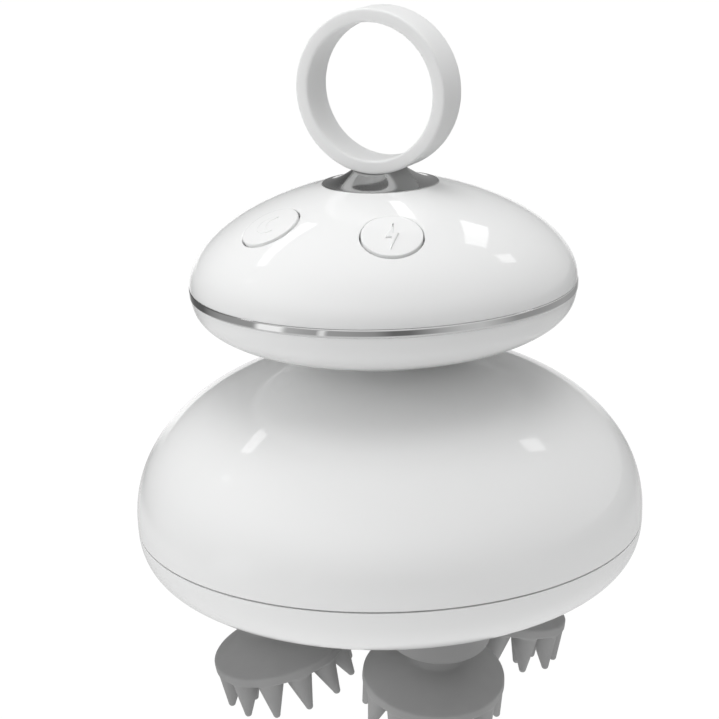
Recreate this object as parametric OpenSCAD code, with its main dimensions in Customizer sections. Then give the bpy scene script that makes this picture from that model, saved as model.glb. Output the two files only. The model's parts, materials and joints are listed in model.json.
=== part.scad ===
// Electric scalp massager: a domed lower body with four tilted massage heads,
// a round pod with two buttons on top of it, and a ring handle.
// Inside the modules, heights are measured from the equator of the lower body.

/* [Lower body] */
// Radius of the lower body at its equator
body_r = 50; // [47:0.5:54]
// Height of the dome above the equator
dome_h = 31.5; // [30:0.5:36]
// Depth of the base cover below the equator
base_h = 16.5; // [15.5:0.25:18]
// Wall of the dome and of the base cover
body_wall = 2.2; // [1.8:0.1:2.6]
// Seam between the two shells, below the equator
seam_drop = 2.1; // [1.5:0.1:3]
// Open line that shows between the two shells
seam_gap = 0.3; // [0.2:0.05:0.4]

/* [Pod] */
// Radius of the pod at its equator
pod_r = 37.3; // [35:0.5:41]
// Height of the pod above its equator
pod_up = 20; // [19:0.25:22]
// Depth of the pod below its equator
pod_down = 13.7; // [13:0.1:15]
// Wall of both pod shells
pod_wall = 2.2; // [1.8:0.1:2.5]
// Space between the dome and the pod on the axis
waist_gap = 0.8; // [0.5:0.1:2]
// Radius of the neck between them
neck_r = 13; // [12.5:0.25:15]
// Width of the chrome band
band_w = 1.6; // [1.2:0.1:2.2]
// Top edge of the chrome band below the pod's equator
band_drop = 0.4; // [0.2:0.1:0.8]

/* [Handle] */
// Outer radius of the ring
ring_r = 15.45; // [14.5:0.05:18]
// Radius of the finger hole
ring_bore_r = 12.87; // [11:0.01:13.2]
// Width of the ring
ring_w = 7.97; // [7:0.01:10]
// Radius of the chrome foot that carries the ring
foot_r = 11.1; // [10.5:0.1:12.5]
// Radius of the foot where it meets the ring
foot_neck_r = 4.7; // [4:0.1:6]
// Height from the foot's rim to the lowest point of the ring
foot_h = 1.99; // [1.4:0.01:4]
// How hollow the foot's flare is, 1 for a straight cone
foot_flare = 1.7; // [1:0.1:2.6]

/* [Buttons] */
// Radius of a button cap
button_r = 5.6; // [5:0.1:6.2]
// Open line round a button cap
button_gap = 0.25; // [0.15:0.05:0.3]
// Distance of the buttons from the axis
button_place = 25; // [24.5:0.1:27]
// Turn of the power button from the front
power_turn = 30.4; // [26:0.2:36]
// Turn of the relax button from the front, on the other side
relax_turn = 28.8; // [24:0.2:34]
// Travel of a button
button_travel = 0.6; // [0.3:0.05:0.8]

/* [Massage heads] */
// Edge of the body in to a head's axis, at the rim
head_inset = 26.1; // [25:0.1:27]
// Rim of a head below the equator
head_depth = 26.8; // [26:0.1:29]
// Lean of a head's axis
head_tilt = 13.2; // [12:0.1:14.5]
// Space between the fingertips of neighbouring heads
head_gap = 4.05; // [3:0.05:5]
// Thickness of a head's rim
rim_t = 1.9; // [1.6:0.1:2.4]
// Fingers round the rim
rim_fingers = 12; // [10:1:14]
// Fingers of the inner ring
inner_fingers = 8; // [6:1:9]
// Length of a finger from the rim's top to the middle of its round tip
finger_l = 8.7; // [7.5:0.1:9.5]
// Radius of a rim finger at its root
finger_root_r = 3.1; // [2.4:0.05:3.2]
// Radius of an inner finger at its root
inner_finger_r = 2.2; // [1.7:0.05:2.4]
// Radius of a finger's tip
finger_tip_r = 0.75; // [0.6:0.05:1]
// How far the tips stand out past the rim's top edge, less than 0 where they stand in
tip_flare = -0.13; // [-0.5:0.01:0.5]
// Radius of the collar that a head turns in
collar_r = 10.1; // [9.5:0.1:10.6]
// Length of the collar below its flange
collar_l = 9; // [8:0.1:10]

/* [Drive] */
// Teeth of the drive gear, in steps of four to suit the four heads
drive_teeth = 20; // [20:4:24]
// Teeth of an output gear
output_teeth = 18; // [18:2:22]
// Face width of the gears
gear_face = 4; // [3:0.1:4.6]
// Play between the flanks of two teeth
tooth_play = 0.3; // [0.2:0.02:0.4]
// Radius of an output shaft
output_shaft_r = 2; // [1.5:0.05:2.2]
// Radius of the drive shaft
drive_shaft_r = 2.5; // [2:0.05:3]
// Radius of the reducer
reducer_r = 12.4; // [11:0.1:13]
// Height of the reducer
reducer_h = 7.5; // [6:0.1:8]
// Radius of the motor
motor_r = 12.2; // [10:0.1:12.4]
// Height of the motor
motor_h = 10.5; // [9:0.1:11]
// Radial clearance of a shaft in its bush
shaft_play = 0.04; // [0.02:0.01:0.08]

/* [Power] */
// Width of the battery
battery_w = 30; // [24:0.5:32]
// Length of the battery
battery_l = 42; // [36:0.5:43]
// Thickness of the battery
battery_t = 6; // [4:0.1:6.4]

/* [Hidden] */
$fn = 96;
profile_steps = 25;

// Exponents of the rounded outlines: across, then upwards
dome_ex = [2.16, 2.05];
base_ex = [4.1, 2.86];
pod_up_ex = [1.588, 1.92];
pod_down_ex = [2.25, 2.98];

// Turn of each head about the body's axis
head_turn = [-45, 45, 135, 225];
// Turn of each head's fingers about the head's own axis, at rest
finger_turn = [6, 6, 0, 0];
inner_turn = 8;
screw_turn = [0, 90, 180, 270];

// Height of an outline lobe over a radius, and its slope there
function lobe_z(r, a, h, ex) = h * pow(max(0, 1 - pow(r / a, ex[0])), 1 / ex[1]);
function lobe_r(z, a, h, ex) = a * pow(max(0, 1 - pow(abs(z) / h, ex[1])), 1 / ex[0]);
function lobe_slope(r, a, h, ex) =
  atan2(lobe_z(r - 0.05, a, h, ex) - lobe_z(r + 0.05, a, h, ex), 0.1);
// Points from the rim at height z0 to the pole; side is 1 above and -1 below
function lobe_pts(a, h, ex, z0, side, steps = profile_steps) =
  let (t0 = asin(pow(z0 / h, ex[1] / 2)))
  [for (i = [0:steps]) let (t = t0 + (90 - t0) * i / steps)
    [a * pow(max(0, cos(t)), 2 / ex[0]), side * h * pow(sin(t), 2 / ex[1])]];
function reversed(pts) = [for (i = [len(pts) - 1:-1:0]) pts[i]];
function raised(pts, dz) = [for (p = pts) [p[0], p[1] + dz]];

// Small named sizes
face_gap = 0.1;        // between faces that run past each other
slip = 0.05;           // round a piece that is set into another one
boss_r = 3.2;
post_r = 2.8;
screw_r = 1.1;
screw_hole_r = 1.3;
screw_head_r = 2.1;
screw_head_h = 1.4;
screw_head_gap = 0.2;
tip_room = 0.5;        // below the end of a screw, in its pilot hole
plug_t = 2.2;
tongue_t = 1.4;
tongue_h = 2;
gasket_w = 1.2;
gasket_t = 0.9;
gasket_in = 0.2;

// Places in the lower body
body_in_r = body_r - body_wall;
seam_z = -seam_drop;
cover_z = seam_z - seam_gap;
closing_place = body_r - 8.5;
closing_head_z = cover_z - 6;
closing_end_z = seam_z + 7.5;
post_place = closing_place - boss_r - 4.3;
plate_r = closing_place - boss_r - 0.3;
neck_bore_r = 8.1;
neck_seat_z = lobe_z(neck_r, body_r, dome_h, dome_ex) - 0.2;

// The tilted heads; s is the distance up a head's axis from its rim
sin_t = sin(head_tilt);
cos_t = cos(head_tilt);
head_place = body_r - head_inset;
tip_reach = (head_place - finger_l * sin_t) * sin(45) - head_gap / 2;
tip_r = tip_reach - finger_tip_r;
rim_r = tip_reach - tip_flare;
rim_flare = 0.1;
rim_edge = 0.3;
root_r = rim_r + rim_flare - finger_root_r;
inner_root_r = 0.66 * root_r;
inner_tip_r = inner_root_r + 1.2;
root_s = 1.2;
eq_z = head_depth + tip_r * sin_t + finger_l * cos_t + finger_tip_r;

// Collar: its flange is level with the cover's floor at its outer edge
flange_r = collar_r + 1.6;
flange_t = 1.2;
seat_rise = 0.1;
seat_near_s = 18;      // about how far up a head's axis the cover's floor is
seat_edge_r = head_place + seat_near_s * sin_t + flange_r * cos_t;
seat_floor_z = -lobe_z(seat_edge_r, body_in_r, base_h - body_wall, base_ex);
seat_s = (head_depth + seat_floor_z + seat_rise + flange_r * sin_t) / cos_t;
collar_s = seat_s - collar_l;
collar_top_s = seat_s + flange_t;
collar_web = 1.6;
collar_tube_r = output_shaft_r + 4;
collar_hollow_r = collar_r - 1.6;
neck_pocket_r = output_shaft_r + 2.9;
neck_pocket_s = collar_s + 2.6;
seal_r = output_shaft_r + 2.4;
seal_t = 1.6;
bush_r = output_shaft_r + 1.5;
bush_flange_r = output_shaft_r + 2.8;
bush_flange_t = 0.8;
bush_s = neck_pocket_s + seal_t;
bush_top_s = collar_top_s + bush_flange_t;
socket_r = collar_r + 2.5;

// Head core and the rubber round it
core_r = rim_r - 4.3;
core_t = 1.8;
core_neck_r = output_shaft_r + 1.2;
core_top_s = neck_pocket_s - 0.6;
neck_skin_r = core_neck_r + 1.1;
skin_top_s = core_top_s - 0.6;
cap_top_r = neck_skin_r + 0.8;
cap_h = (rim_r - cap_top_r) * 0.57;
shaft_foot_s = 0.2;
flat_depth = 0.5;
flat_l = 9;

// Tapered gears; every pitch cone meets at one point on the body's axis
tooth_pressure = 20;
tooth_tip = 0.8;
tooth_root = 1.05;
output_hub = 1.6;
output_gear_s = bush_top_s + face_gap + output_hub + gear_face / 2;
apex_drop = head_place / sin_t;
apex_z = -head_depth - apex_drop * cos_t;
output_dist = apex_drop + output_gear_s;
output_cone = atan(sin_t / (cos_t + drive_teeth / output_teeth));
drive_cone = head_tilt - output_cone;
cone_l = output_dist / cos(output_cone);
output_pitch_r = cone_l * sin(output_cone);
drive_pitch_r = cone_l * sin(drive_cone);
drive_dist = cone_l * cos(drive_cone);
drive_gear_z = apex_z + drive_dist;
tooth_m = 2 * drive_pitch_r / drive_teeth;
gear_tip_r = output_pitch_r + tooth_tip * tooth_m;
output_top_s = output_gear_s + gear_face / 2;

// Gear plate, over the highest teeth
plate_t = 2.4;
plate_z = -head_depth + output_top_s * cos_t + gear_tip_r * sin_t + 0.9;
plate_top = plate_z + plate_t;
plate_screw_end_z = plate_z - 6.5;
plate_sink = 1.1;
bearing_s = output_top_s + 0.9;
bearing_r = output_shaft_r + 2.2;
bearing_top_s = (plate_top + head_depth + bearing_r * sin_t) / cos_t + 0.3;
output_shaft_top_s = bearing_top_s - 0.6;

// Drive shaft and its footstep
floor_z = -(base_h - body_wall);
foot_bush_r = drive_shaft_r + 1.5;
foot_bush_flange_r = drive_shaft_r + 2.7;
foot_bush_flange_t = 0.6;
foot_boss_r = drive_shaft_r + 3;
foot_boss_h = 5.6;
foot_boss_z = floor_z + foot_boss_h;
foot_bush_top = foot_boss_z + foot_bush_flange_t;
foot_bush_l = foot_boss_h - 0.8;
drive_shaft_z = foot_boss_z - foot_bush_l + 0.3;
drive_hub_r = drive_shaft_r + 2;
reducer_bore_h = 4.5;
motor_screw_place = reducer_r - 3.4;
motor_screw_end_z = plate_top + 3;
motor_z = plate_top + reducer_h;
motor_top = motor_z + motor_h;
terminal_h = 1;
terminal_x = 3;

// Neck
neck_wall = 2.5;
spigot_r = neck_bore_r - slip;
spigot_in_r = spigot_r - neck_wall;
nut_t = 2.2;
nut_r = 12.2;
dome_ceiling_z = neck_seat_z - 3;
spigot_end_z = dome_ceiling_z - nut_t - 0.3;

// Places in the pod
pod_z = dome_h + waist_gap + pod_down;
pod_in_r = pod_r - pod_wall;
band_top_z = pod_z - band_drop;
band_low_z = band_top_z - band_w;
band_depth = 2.3;
band_proud = 0.15;
pod_tongue_top = band_top_z + 2.6;
pod_tongue_r = lobe_r(pod_tongue_top - pod_z, pod_in_r, pod_up - pod_wall, pod_up_ex) - slip;
bead_z = band_top_z + 1.5;
bead_t = 0.25;
bead_w = 0.8;
pod_seat_z = pod_z - lobe_z(neck_r, pod_r, pod_down, pod_down_ex) + 0.1;
pod_floor_z = pod_z - (pod_down - pod_wall);
pod_floor_top = pod_floor_z + 0.3;
spigot_floor_r = neck_r - 0.5;
neck_seat_cut = 3;
board_z = pod_z;
board_t = 1.2;
board_r = pod_in_r - 3.1;
board_post_place = board_r - 2.6;
board_post_r = 2.3;
board_chips = [[0, 10, 7, 7, 1], [12, 14, 5, 5, 3], [-12, 14, 8, 4, 3.5]];  // place, size, height
board_screw_end_z = board_z - 5.5;
battery_top = board_z - 1.8;
battery_z = battery_top - battery_t;
pad_t = 1.2;
pad_w = battery_w - 6;
pad_l = battery_l - 18;
rib_x = pad_w / 2 - 3;
rib_t = 2;

// Foot of the ring and the ring itself
foot_seat_z = pod_z + lobe_z(foot_r, pod_r, pod_up, pod_up_ex) - 0.4;
foot_rim_z = foot_seat_z + 0.5;
crown_r = foot_r + 1.5;
crown_t = 2.6;
ring_z = foot_rim_z + foot_h + ring_r;
ring_edge = 0.5;
handle_screw_r = 1.5;
handle_screw_head_r = 2.9;
handle_screw_head_h = 1.8;
handle_screw_end = ring_z - ring_bore_r - 0.7;

// Buttons; in a button's frame z is 0 at the pod's surface, outwards positive
button_z = pod_z + lobe_z(button_place, pod_r, pod_up, pod_up_ex);
button_slope = lobe_slope(button_place, pod_r, pod_up, pod_up_ex);
cap_depth = 2.5;
cap_flange_r = button_r + 1.1;
cap_flange_t = 0.8;
guide_in_r = cap_flange_r + 0.4;
guide_r = guide_in_r + 2.1;
switch_board_z = -6.4;
switch_board_t = 1;
switch_board_r = guide_in_r + 0.9;
switch_w = 6;
switch_h = 2.2;
plunger_r = 1.5;
plunger_gap = 0.1;
plunger_l = 1.7;
cap_flange_z = -cap_depth - face_gap - cap_flange_t;
guide_open_z = switch_board_z - switch_board_t - 9;
icon_proud = 0.15;
icon_root = 1;
icon_r = 0.66 * button_r;
moon_r = 0.45 * button_r;

// Charging pins at the back of the pod
pin_r = 1.2;
pin_l = 4.5;
pin_place = pod_r - 4.3;
pin_spread = 4;

// Motor leads
lead_r = 0.7;
lead_bend_r = 0.8;
lead_back = battery_l / 2 + 5;

// Frames
module lift() { translate([0, 0, eq_z]) children(); }
module at_head(i) {
  lift() rotate([0, 0, head_turn[i]]) translate([head_place, 0, -head_depth])
    rotate([0, head_tilt, 0]) children();
}
module each_head() { for (i = [0:3]) at_head(i) children(); }
module at_pod(turn, place) {
  lift() rotate([0, 0, turn - 90])
    translate([place, 0, pod_z + lobe_z(place, pod_r, pod_up, pod_up_ex)])
      rotate([0, lobe_slope(place, pod_r, pod_up, pod_up_ex), 0]) children();
}
module round_the_axis(turns, place) {
  for (a = turns) rotate([0, 0, a]) translate([place, 0, 0]) children();
}

// Plain solids
module spin(pts) { rotate_extrude() polygon(pts); }
module rod(r, z0, z1) { translate([0, 0, z0]) cylinder(r = r, h = z1 - z0); }
module tube(r_out, r_in, z0, z1) { spin([[r_in, z0], [r_out, z0], [r_out, z1], [r_in, z1]]); }
module slab(x, y, z0, z1) { translate([-x / 2, -y / 2, z0]) cube([x, y, z1 - z0]); }
module soft_slab(x, y, z0, z1, r) {
  slab(x - 2 * r, y, z0, z1);
  slab(x, y - 2 * r, z0, z1);
  for (i = [-1, 1], j = [-1, 1]) translate([i * (x / 2 - r), j * (y / 2 - r), 0]) rod(r, z0, z1);
}
module body_below(inset, steps) {
  spin(concat(lobe_pts(body_r - inset, base_h - inset, base_ex, 0, -1, steps), [[0, 0]]));
}
module pod_above(grow) {
  spin(raised(concat(lobe_pts(pod_r + grow, pod_up + grow, pod_up_ex, 0, 1), [[0, 0]]), pod_z));
}

// Lower body
module dome_shell() {
  outer = concat([for (i = [0:2]) let (z = seam_z * (1 - i / 3))
    [lobe_r(z, body_r, base_h, base_ex), z]], lobe_pts(body_r, dome_h, dome_ex, 0, 1));
  inner = reversed(lobe_pts(body_in_r, dome_h - body_wall, dome_ex, 0, 1));
  boss_top = lobe_z(closing_place + boss_r, body_r, dome_h, dome_ex) - 0.4;
  color("white") lift() difference() {
    union() {
      spin(concat(outer, inner, [[body_in_r, seam_z]]));
      rod(neck_r + 1, dome_ceiling_z, neck_seat_z);
      round_the_axis(screw_turn, closing_place) rod(boss_r, seam_z, boss_top);
    }
    rod(neck_bore_r, dome_ceiling_z - 1, dome_h + 1);
    rod(neck_r + slip, neck_seat_z, dome_h + 1);
    round_the_axis(screw_turn, closing_place) rod(screw_r, seam_z - 1, closing_end_z + tip_room);
  }
}

module base_cover() {
  outer = lobe_pts(body_r, base_h, base_ex, -cover_z, -1);
  inner = reversed(lobe_pts(body_in_r, base_h - body_wall, base_ex, -cover_z, -1));
  boss_low = -lobe_z(closing_place + boss_r, body_r, base_h, base_ex) + 0.4;
  post_low = -lobe_z(post_place, body_in_r, base_h - body_wall, base_ex) - body_wall / 2;
  color("white") difference() {
    union() {
      lift() {
        spin(concat(outer, inner));
        tube(body_in_r - slip, body_in_r - tongue_t, cover_z - 3, seam_z + tongue_h);
        rod(foot_boss_r, floor_z - body_wall / 2, foot_boss_z);
        round_the_axis(screw_turn, closing_place) rod(boss_r, boss_low, cover_z);
        round_the_axis(screw_turn, post_place) rod(post_r, post_low, plate_z);
      }
      intersection() {
        each_head() rod(socket_r, 0, seat_s);
        lift() body_below(body_wall / 2, 8);
      }
    }
    each_head() {
      rod(collar_r + slip, 0, seat_s + 1);
      rod(flange_r + slip, seat_s, seat_s + 6);
    }
    lift() {
      tube(body_in_r + gasket_in + gasket_w, body_in_r + gasket_in, seam_z - gasket_t, cover_z + 1);
      rod(foot_bush_r + slip, foot_boss_z - foot_bush_l, foot_boss_z + 1);
      round_the_axis(screw_turn, closing_place) {
        rod(screw_hole_r, -base_h, cover_z + 1);
        rod(screw_head_r + screw_head_gap, -base_h - 1, closing_head_z);
      }
      round_the_axis(screw_turn, post_place) rod(screw_r, plate_screw_end_z - tip_room, plate_z + 1);
    }
  }
}

module seam_gasket() {
  color("dimgray") lift()
    tube(body_in_r + gasket_in + gasket_w, body_in_r + gasket_in, seam_z - gasket_t, seam_z);
}

module closing_screws() {
  color("silver") lift() round_the_axis(screw_turn, closing_place) {
    rod(screw_r, closing_head_z, closing_end_z);
    rod(screw_head_r, closing_head_z - screw_head_h, closing_head_z);
  }
}

module screw_plugs() {
  mouth_z = -lobe_z(closing_place, body_r, base_h, base_ex);
  color("gainsboro") lift() intersection() {
    round_the_axis(screw_turn, closing_place)
      rod(screw_head_r + screw_head_gap, -base_h, mouth_z + plug_t);
    body_below(0, profile_steps);
  }
}

// Gears
function involute(base, r) = r <= base ? 0 : tan(acos(base / r)) * 180 / PI - acos(base / r);
function tooth_half(r, pitch, teeth) =
  let (base = pitch * cos(tooth_pressure))
  90 / teeth - tooth_play / 4 / pitch * 180 / PI + involute(base, pitch) - involute(base, r);
function gear_pts(teeth, pitch, k) =
  let (radii = [pitch - tooth_root * tooth_m, pitch, pitch + tooth_tip * tooth_m])
  [for (i = [0:teeth - 1], side = [-1, 1], j = [0:2])
    let (r = radii[side < 0 ? j : 2 - j],
         a = 360 * i / teeth + side * tooth_half(r, pitch, teeth))
    k * r * [cos(a), sin(a)]];
module taper_gear(teeth, pitch, dist, turn) {
  low = dist - gear_face / 2;
  rotate([0, 0, turn]) translate([0, 0, -gear_face / 2])
    linear_extrude(height = gear_face, scale = (dist + gear_face / 2) / low)
      polygon(gear_pts(teeth, pitch, low / dist));
}

module drive_gear() {
  color("ivory") lift() difference() {
    union() {
      translate([0, 0, drive_gear_z])
        taper_gear(drive_teeth, drive_pitch_r, drive_dist, head_turn[1]);
      rod(drive_hub_r, foot_bush_top + face_gap, plate_z - face_gap);
    }
    rod(drive_shaft_r, drive_shaft_z - 1, plate_z + 1);
  }
}

module drive_shaft() {
  color("silver") lift() rod(drive_shaft_r, drive_shaft_z, plate_top + reducer_bore_h - 0.5);
}

module footstep_bush() {
  color("peru") lift() difference() {
    union() {
      rod(foot_bush_r, foot_boss_z - foot_bush_l, foot_boss_z);
      rod(foot_bush_flange_r, foot_boss_z, foot_bush_top);
    }
    rod(drive_shaft_r + shaft_play, foot_boss_z - foot_bush_l - 1, foot_bush_top + 1);
  }
}

module gear_plate() {
  color("whitesmoke") difference() {
    union() {
      lift() rod(plate_r, plate_z, plate_top);
      each_head() rod(bearing_r, bearing_s, bearing_top_s);
    }
    each_head() rod(output_shaft_r + shaft_play, bearing_s - 1, bearing_top_s + 1);
    lift() {
      rod(drive_shaft_r + 1, plate_z - 1, plate_top + 1);
      round_the_axis(screw_turn, post_place) rod(screw_hole_r, plate_z - 1, plate_top + 1);
      round_the_axis(screw_turn, motor_screw_place) {
        rod(screw_hole_r, plate_z - 1, plate_top + 1);
        rod(screw_head_r + slip, plate_z - 1, plate_z + plate_sink);
      }
    }
  }
}

module plate_screws() {
  color("silver") lift() round_the_axis(screw_turn, post_place) {
    rod(screw_r, plate_screw_end_z, plate_top);
    rod(screw_head_r, plate_top, plate_top + screw_head_h);
  }
}

module motor_screws() {
  color("silver") lift() round_the_axis(screw_turn, motor_screw_place) {
    rod(screw_r, plate_z + plate_sink, motor_screw_end_z);
    rod(screw_head_r, plate_z + 0.1, plate_z + plate_sink);
  }
}

module reducer() {
  edge = 0.5;
  color("lightgray") lift() difference() {
    spin([[0, plate_top], [reducer_r - edge, plate_top], [reducer_r, plate_top + edge],
      [reducer_r, motor_z - edge], [reducer_r - edge, motor_z], [0, motor_z]]);
    rod(drive_shaft_r + shaft_play, plate_top - 1, plate_top + reducer_bore_h);
    round_the_axis(screw_turn, motor_screw_place)
      rod(screw_r, plate_top - 1, motor_screw_end_z + tip_room);
  }
}

module motor() {
  edge = 0.8;
  color("silver") lift() {
    spin([[0, motor_z], [motor_r, motor_z], [motor_r, motor_top - edge],
      [motor_r - edge, motor_top], [0, motor_top]]);
    for (side = [-1, 1]) translate([side * terminal_x, 0, 0]) slab(0.5, 2, motor_top - 0.5,
      motor_top + terminal_h);
  }
}

// Massage heads
module collar(i) {
  web_s = collar_s + collar_web;
  color("darkgray") at_head(i) spin([[neck_pocket_r, collar_s], [collar_r, collar_s],
    [collar_r, seat_s], [flange_r, seat_s], [flange_r, collar_top_s],
    [collar_hollow_r, collar_top_s], [collar_hollow_r, web_s], [collar_tube_r, web_s],
    [collar_tube_r, collar_top_s], [bush_r, collar_top_s], [bush_r, bush_s], [seal_r, bush_s],
    [seal_r, neck_pocket_s], [neck_pocket_r, neck_pocket_s]]);
}

module bush(i) {
  color("peru") at_head(i) difference() {
    union() {
      rod(bush_r, bush_s, collar_top_s);
      rod(bush_flange_r, collar_top_s, bush_top_s);
    }
    rod(output_shaft_r + shaft_play, bush_s - 1, bush_top_s + 1);
  }
}

module shaft_seals() {
  color("dimgray") each_head() tube(seal_r, output_shaft_r + shaft_play, neck_pocket_s, bush_s);
}

module output_shaft_solid() {
  difference() {
    rod(output_shaft_r, shaft_foot_s, output_shaft_top_s);
    translate([output_shaft_r - flat_depth, -output_shaft_r, shaft_foot_s - 1])
      cube([output_shaft_r, 2 * output_shaft_r, flat_l + 1]);
  }
}
module output_shaft(i) { color("silver") at_head(i) output_shaft_solid(); }

module output_gear(i) {
  color("ivory") at_head(i) difference() {
    union() {
      translate([0, 0, output_gear_s])
        taper_gear(output_teeth, output_pitch_r, output_dist, 180 + 180 / output_teeth);
      rod(bush_flange_r, bush_top_s + face_gap, bearing_s - face_gap);
    }
    rod(output_shaft_r, bush_top_s - 1, bearing_s + 1);
  }
}

module core_solid() {
  rod(core_r, -core_t / 2, core_t / 2);
  rod(core_neck_r, 0, core_top_s);
}
module head_core(i) {
  color("gray") at_head(i) difference() {
    core_solid();
    output_shaft_solid();
  }
}

// A finger leans out from its root to its tip
module finger(from_r, to_r, root) {
  dx = to_r - from_r;
  dz = finger_l - root_s;
  l = sqrt(dx * dx + dz * dz);
  translate([from_r, 0, -root_s]) rotate([0, 180 - atan2(dx, dz), 0])
    spin(concat([[0, 0], [root, 0]],
      [for (a = [0:22.5:90]) [finger_tip_r * cos(a), l + finger_tip_r * sin(a)]]));
}

module massage_head(i) {
  e = rim_edge;
  foot_r = rim_r + rim_flare;
  color("gray") at_head(i) difference() {
    union() {
      spin([[0, -rim_t], [foot_r - e, -rim_t], [foot_r, -rim_t + e], [rim_r, -e], [rim_r - e, 0],
        [cap_top_r + 2 * e, cap_h - e], [cap_top_r, cap_h + e], [neck_skin_r, cap_h + 5 * e],
        [neck_skin_r, skin_top_s], [0, skin_top_s]]);
      rotate([0, 0, finger_turn[i]]) {
        for (k = [0:rim_fingers - 1]) rotate([0, 0, 360 * k / rim_fingers])
          finger(root_r, tip_r, finger_root_r);
        for (k = [0:inner_fingers - 1]) rotate([0, 0, inner_turn + 360 * k / inner_fingers])
          finger(inner_root_r, inner_tip_r, inner_finger_r);
      }
      finger(0, 0, inner_finger_r);
    }
    core_solid();
  }
}

// Neck
module neck_ring() {
  color("white") lift() tube(neck_r, neck_bore_r, neck_seat_z, pod_seat_z);
}
module neck_nut() {
  color("gray") lift() difference() {
    translate([0, 0, dome_ceiling_z - nut_t]) cylinder(r = nut_r, h = nut_t, $fn = 6);
    rod(spigot_r, dome_ceiling_z - nut_t - 1, dome_ceiling_z + 1);
  }
}

// Pod
module pod_lower_shell() {
  outer = lobe_pts(pod_r, pod_down, pod_down_ex, pod_z - band_low_z, -1);
  inner = reversed(lobe_pts(pod_in_r, pod_down - pod_wall, pod_down_ex, pod_z - band_low_z, -1));
  post_low = pod_z - lobe_z(board_post_place, pod_in_r, pod_down - pod_wall, pod_down_ex) - 1;
  color("white") lift() difference() {
    union() {
      difference() {
        spin(raised(concat(outer, inner), pod_z));
        rod(neck_r, pod_seat_z - neck_seat_cut, pod_seat_z);
      }
      spin([[pod_in_r - tongue_t, band_low_z - 3], [pod_tongue_r, band_low_z - 3],
        [pod_tongue_r, bead_z - bead_w / 2], [pod_tongue_r + bead_t, bead_z],
        [pod_tongue_r, bead_z + bead_w / 2], [pod_tongue_r, pod_tongue_top],
        [pod_in_r - tongue_t, pod_tongue_top]]);
      rod(spigot_floor_r, pod_seat_z + pod_wall / 4, pod_floor_top);
      rod(spigot_r, spigot_end_z, pod_floor_top);
      round_the_axis(screw_turn, board_post_place) rod(board_post_r, post_low, board_z);
      for (side = [-1, 1]) translate([side * rib_x, 0, 0])
        slab(rib_t, pad_l - 4, pod_floor_z - 0.4, battery_z - pad_t);
    }
    rod(spigot_in_r, spigot_end_z - 1, pod_floor_top + 1);
    round_the_axis(screw_turn, board_post_place) rod(screw_r, board_screw_end_z - tip_room, board_z + 1);
  }
}

module chrome_band() {
  r_out = pod_r + band_proud;
  edge = 0.15;
  color("silver") lift() spin([[r_out - band_depth, band_low_z], [r_out - edge, band_low_z],
    [r_out, band_low_z + edge], [r_out, band_top_z - edge], [r_out - edge, band_top_z],
    [r_out - band_depth, band_top_z]]);
}

module pod_upper_shell() {
  outer = lobe_pts(pod_r, pod_up, pod_up_ex, 0, 1);
  inner = reversed(lobe_pts(pod_in_r, pod_up - pod_wall, pod_up_ex, 0, 1));
  color("white") difference() {
    union() {
      lift() {
        spin(raised(concat([[pod_r, -band_drop]], outer, inner, [[pod_in_r, -band_drop]]), pod_z));
        intersection() {
          rod(crown_r, foot_seat_z - crown_t, foot_seat_z + 1);
          pod_above(0);
        }
      }
      intersection() {
        for (turn = [power_turn, -relax_turn])
          at_pod(turn, button_place) rod(guide_r, switch_board_z - switch_board_t, 0);
        lift() pod_above(-pod_wall / 2);
      }
    }
    lift() {
      rod(foot_r + slip, foot_seat_z, pod_z + pod_up + 1);
      spin([[pod_tongue_r - 1, bead_z - bead_w], [pod_tongue_r + slip, bead_z - bead_w],
        [pod_tongue_r + bead_t + slip, bead_z], [pod_tongue_r + slip, bead_z + bead_w],
        [pod_tongue_r - 1, bead_z + bead_w]]);
      rod(handle_screw_r + 0.2, foot_seat_z - crown_t - 1, foot_seat_z + 1);
    }
    for (turn = [power_turn, -relax_turn]) at_pod(turn, button_place) {
      rod(button_r + button_gap, -cap_depth - 1, 2);
      rod(guide_in_r, guide_open_z, -cap_depth);
      rod(switch_board_r + slip, guide_open_z, switch_board_z);
    }
    pin_rods();
  }
}

module pin_rods() {
  at_pod(180, pin_place) for (side = [-1, 1]) translate([0, side * pin_spread, 0])
    rod(pin_r, -pin_l, 3);
}
module charge_pins() {
  color("goldenrod") intersection() {
    pin_rods();
    lift() pod_above(0);
  }
}

module battery() {
  color("lightblue") lift() soft_slab(battery_w, battery_l, battery_z, battery_top, 2);
}
module battery_pad() {
  color("dimgray") lift() slab(pad_w, pad_l, battery_z - pad_t, battery_z);
}

module control_board() {
  top = board_z + board_t;
  color("seagreen") lift() difference() {
    union() {
      rod(board_r, board_z, top);
      for (c = board_chips) translate([c[0], c[1], 0]) slab(c[2], c[3], top, top + c[4]);
    }
    round_the_axis(screw_turn, board_post_place) rod(screw_hole_r, board_z - 1, top + 1);
  }
}
module board_screws() {
  color("silver") lift() round_the_axis(screw_turn, board_post_place) {
    rod(screw_r, board_screw_end_z, board_z + board_t);
    rod(screw_head_r, board_z + board_t, board_z + board_t + screw_head_h);
  }
}

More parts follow.
